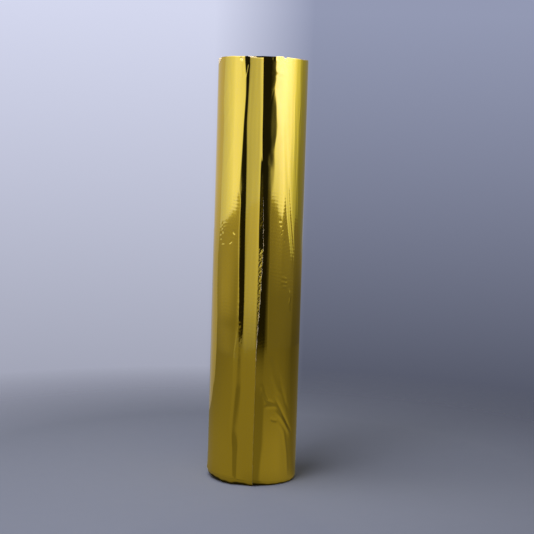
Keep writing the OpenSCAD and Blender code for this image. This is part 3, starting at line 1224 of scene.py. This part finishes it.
def place_camera(scene):
    """Camera at the fitted place: looking along +Y, turned by yaw, pitch and roll."""
    yaw, pitch, roll = (math.radians(a) for a in (CAMERA_YAW, CAMERA_PITCH, CAMERA_ROLL))
    right = np.array([math.cos(yaw), -math.sin(yaw), 0])
    ahead = np.array([
        math.sin(yaw) * math.cos(pitch), math.cos(yaw) * math.cos(pitch), -math.sin(pitch)])
    up = np.cross(right, ahead)
    side = math.cos(roll) * right + math.sin(roll) * up
    over = -math.sin(roll) * right + math.cos(roll) * up
    data = bpy.data.cameras.new("camera")
    data.lens = CAMERA_LENS
    data.sensor_width = CAMERA_SENSOR
    data.clip_start = 0.05
    data.clip_end = 50.0
    camera = bpy.data.objects.new("camera", data)
    turned = Matrix(np.column_stack([side, over, -ahead]).tolist()).to_4x4()
    camera.matrix_world = Matrix.Translation(CAMERA_AT) @ turned
    scene.collection.objects.link(camera)
    scene.camera = camera


def backdrop(scene, look):
    """World: a plain backdrop, lighter on the left and towards the top, for what is seen or mirrored,
    and an even light for the rest."""
    world = bpy.data.worlds.new("backdrop")
    scene.world = world
    world.use_nodes = True
    tree = world.node_tree
    tree.nodes.clear()
    way = node(tree, "ShaderNodeSeparateXYZ", {
        "Vector": node(tree, "ShaderNodeTexCoord").outputs["Generated"]}).outputs
    light_side, dark_side = (
        node(tree, "ShaderNodeBackground", {
            "Color": (*colour, 1),
            "Strength": between(tree, way["Z"], low, BACKDROP_TOP, *BACKDROP_HEIGHTS)}).outputs[0]
        for colour, low in zip((look.backdrop_light, look.backdrop_dark), BACKDROP_LOW))
    seen = node(tree, "ShaderNodeMixShader", {
        0: between(tree, way["X"], 0, 1, *BACKDROP_SIDES), 1: light_side, 2: dark_side})
    light = node(tree, "ShaderNodeBackground", {"Color": AMBIENT_TINT, "Strength": look.ambient})
    rays = node(tree, "ShaderNodeLightPath").outputs
    shown = rays["Is Camera Ray"]
    for kind in ("Is Glossy Ray", "Is Transmission Ray"):
        shown = node(tree, "ShaderNodeMath", {0: shown, 1: rays[kind]}, operation="MAXIMUM").outputs[0]
    mixed = node(tree, "ShaderNodeMixShader", {
        0: shown, 1: light.outputs[0], 2: seen.outputs[0]})
    out = node(tree, "ShaderNodeOutputWorld")
    tree.links.new(mixed.outputs[0], out.inputs["Surface"])


def lay_floor(look):
    """Round floor: rings of vertices from the middle out. For the camera it fades into the backdrop."""
    columns = 128
    radii = np.array(FLOOR_RINGS) / MM
    a = np.linspace(0, 2 * np.pi, columns, endpoint=False)[:, None]
    points = np.stack([radii * np.cos(a), radii * np.sin(a), 0 * radii * a - FLOOR_DROP], -1)
    material, tree, shader = new_finish("pale_floor")
    grain = noise(tree, (40, 40, 40), 4)
    colour = tuple(look.floor)
    set_shader(
        tree, shader, Base_Color=tints(tree, grain, (0.3, shade(colour, 0.985)), (0.7, colour)),
        Roughness=0.6, Specular_IOR_Level=0.2)
    far = node(tree, "ShaderNodeVectorMath", {
        0: node(tree, "ShaderNodeTexCoord").outputs["Object"]}, operation="LENGTH").outputs["Value"]
    fade = between(tree, far, 0.0, 1.0, *FLOOR_SEEN)
    seen = node(tree, "ShaderNodeMath", {
        0: fade, 1: node(tree, "ShaderNodeLightPath").outputs["Is Camera Ray"]}, operation="MULTIPLY")
    clear = node(tree, "ShaderNodeBsdfTransparent")
    mixed = node(tree, "ShaderNodeMixShader", {
        0: seen.outputs[0], 1: shader.outputs[0], 2: clear.outputs[0]})
    tree.links.new(mixed.outputs[0], tree.nodes["Material Output"].inputs["Surface"])
    quads = ring_quads(0, columns, len(radii), True)
    floor = make_piece("floor", points, quads.tolist(), material)


def glow_finish(name):
    """A plain glow from the attribute called glow."""
    material = bpy.data.materials.new(name)
    material.use_nodes = True
    tree = material.node_tree
    tree.nodes.clear()
    glow = node(tree, "ShaderNodeAttribute", attribute_name="glow")
    shown = node(tree, "ShaderNodeEmission", {"Color": glow.outputs["Color"], "Strength": 1.0})
    out = node(tree, "ShaderNodeOutputMaterial")
    tree.links.new(shown.outputs[0], out.inputs["Surface"])
    return material


def mirror_only(piece, glow):
    """Keeps a stage piece out of all but mirror images, and gives each vertex its glow."""
    layer = piece.data.attributes.new("glow", "FLOAT_COLOR", "POINT")
    layer.data.foreach_set("color", glow.astype(np.float32).ravel())
    piece.visible_camera = piece.visible_diffuse = piece.visible_shadow = False


def hang_tent():
    """Light tent: an upright ring round the roll that only mirrors see.

    At each angle its glow runs up the skirt, jumps at the lower edge of the bright cloth and
    runs on to the crown. Where the cloth glows by more than 1 it turns blue.
    """
    table = np.array(TENT, float)
    angle = np.unique(np.concatenate([np.arange(-180, 181, 3.0), table[:, 0]]))
    edge, glow_low, glow_top, floor_glow, middle_glow, skirt_glow = (
        np.interp(angle, table[:, 0], table[:, k])[:, None] for k in range(1, 7))
    same = np.ones_like(edge)
    heights = np.hstack([
        0 * same, SKIRT_MIDDLE * same, edge - HALF_SEAM, edge + HALF_SEAM, TENT_MIDDLE * same,
        TENT_CROWN * same, TENT_TOP * same])
    cloth, skirt = np.array([*CLOTH_LIGHT, 1.0]), np.array([*SKIRT_LIGHT, 1.0])
    skirt = skirt + (cloth - skirt) * np.interp(angle, *np.array(SKIRT_TINT, float).T)[:, None]
    low, top, crown = glow_low * cloth, glow_top * cloth, glow_top * np.array([*CROWN_LIGHT, 1.0])
    blue = np.interp(angle, *np.array(CLOTH_BLUE, float).T)[:, None]
    low[:, 2:3] *= np.maximum(glow_low, 1)**HIGHLIGHT_TINT * blue
    top[:, 2:3] *= np.maximum(glow_top, 1)**HIGHLIGHT_TINT * blue
    glow = np.stack([
        floor_glow * skirt, middle_glow * skirt, skirt_glow * skirt, low, top, crown, crown], 1)
    a = np.radians(angle)[:, None] + 0 * heights
    points = np.stack([np.sin(a), -np.cos(a), heights / TENT_RADIUS], -1) * TENT_RADIUS / MM
    quads = grid_quads(0, len(angle), heights.shape[1], True)
    tent = make_piece("light_tent", points, quads.tolist(), glow_finish("tent_cloth"))
    mirror_only(tent, glow)


def stand_board():
    """Board behind the roll on the left, for the mirror image along the roll's left side. Its glow is
    painted light, as of a lit white board, and is weaker towards the floor.
    """
    up, left, share = np.array(BOARD).T
    same = np.ones_like(up)
    points = np.stack([
        np.stack([x, BOARD_DEPTH * same, up], -1) for x in (left, BOARD_RIGHT * same)]) / MM
    quads = grid_quads(0, 2, len(up))
    board = make_piece("glowing_board", points, quads.tolist(), glow_finish("glowing_board"))
    # painted light: the board's glow, weaker towards the floor
    glow = share[:, None] * np.array([*BOARD_LIGHT, 0.0]) + np.array([0, 0, 0, 1.0])
    mirror_only(board, np.stack([glow, glow]))


def mirror_floor():
    """The floor as mirrors see it: a flat disc just above it, whose glow is painted floor light and
    shade: bright close to the roll but for a painted contact shadow at its foot, dull at the tent's
    foot, with a painted shaded stretch in front."""
    table, fade, stretch = (np.array(rows, float) for rows in (FLOOR_GLOW, FLOOR_FADE, FLOOR_SHADE))
    angle = np.arange(-180, 180, 1.0)
    all_over, near_roll = np.linspace(0.01, TENT_RADIUS, 40), 0.06 + 0.0015 * np.arange(40)
    reach = np.unique(np.concatenate([all_over, near_roll]))
    start, end, dim = (np.interp(reach, stretch[:, 0], stretch[:, k]) for k in (1, 2, 3))
    marks = [
        (-180, a - FLOOR_SOFT, a, b, b + FLOOR_SOFT, 180)
        for a, b in zip([*start, stretch[-1, 1]], [*end, stretch[-1, 2]])]
    # the glow's own angles run where the stretch ends at the tent's foot
    seen = np.stack([np.interp(angle, here, marks[-1]) for here in marks[:-1]], 1)
    close, foot_glow = (np.interp(seen, table[:, 0], table[:, k]) for k in (1, 2))
    left, lit = (np.interp(reach, fade[:, 0], fade[:, k])[None, :] for k in (1, 2))
    turn = angle[:, None]
    inside = rise(turn, start - FLOOR_SOFT, start) * (1 - rise(turn, end, end + FLOOR_SOFT))
    # painted light and shade: the floor's glow, a contact shadow by the roll and the shaded stretch in
    # front
    glow = (foot_glow + (close - foot_glow) * left) * lit * (1 - inside * (1 - dim))
    glow = glow[..., None] * np.array([*FLOOR_LIGHT, 0.0])
    glow[..., 3] = 1.0
    a = np.radians(turn) + 0 * reach
    points = np.stack([reach * np.sin(a), -reach * np.cos(a), MIRROR_FLOOR_AT + 0 * a], -1) / MM
    quads = ring_quads(0, len(angle), len(reach), True)
    disc = make_piece("mirror_floor", points, quads.tolist(), glow_finish("mirror_floor"))
    mirror_only(disc, glow)


class ROLL_PT_panel(bpy.types.Panel):
    """Lists the roll's sizes, its finishes and the steps that build it"""

    bl_idname = "ROLL_PT_panel"
    bl_label = "Vinyl roll"
    bl_space_type = "VIEW_3D"
    bl_region_type = "UI"
    bl_category = "Vinyl roll"

    def draw(self, context):
        for step in STEPS:
            self.layout.operator(step.bl_idname)
        for group in (context.scene.roll_sizes, context.scene.roll_finish, context.scene.roll_stage):
            box = self.layout.box()
            for name in group.bl_rna.properties.keys():
                if name not in ("rna_type", "name"):
                    box.prop(group, name)


STEPS = (ROLL_OT_core, ROLL_OT_wound_turns, ROLL_OT_liner, ROLL_OT_film, ROLL_OT_stage)
GROUPS = {"roll_sizes": RollSizes, "roll_finish": RollFinish, "roll_stage": StageLook}


def register():
    for group in GROUPS.values():
        bpy.utils.register_class(group)
    for step in (*STEPS, ROLL_PT_panel):
        bpy.utils.register_class(step)
    for name, group in GROUPS.items():
        setattr(bpy.types.Scene, name, PointerProperty(type=group))


def unregister():
    for name in GROUPS:
        delattr(bpy.types.Scene, name)
    for made in (ROLL_PT_panel, *reversed(STEPS), *reversed(GROUPS.values())):
        bpy.utils.unregister_class(made)


def main():
    register()
    bpy.ops.roll.core()
    bpy.ops.roll.wound_turns()
    bpy.ops.roll.liner()
    bpy.ops.roll.film()
    bpy.ops.roll.stage()


if __name__ == "__main__":
    main()
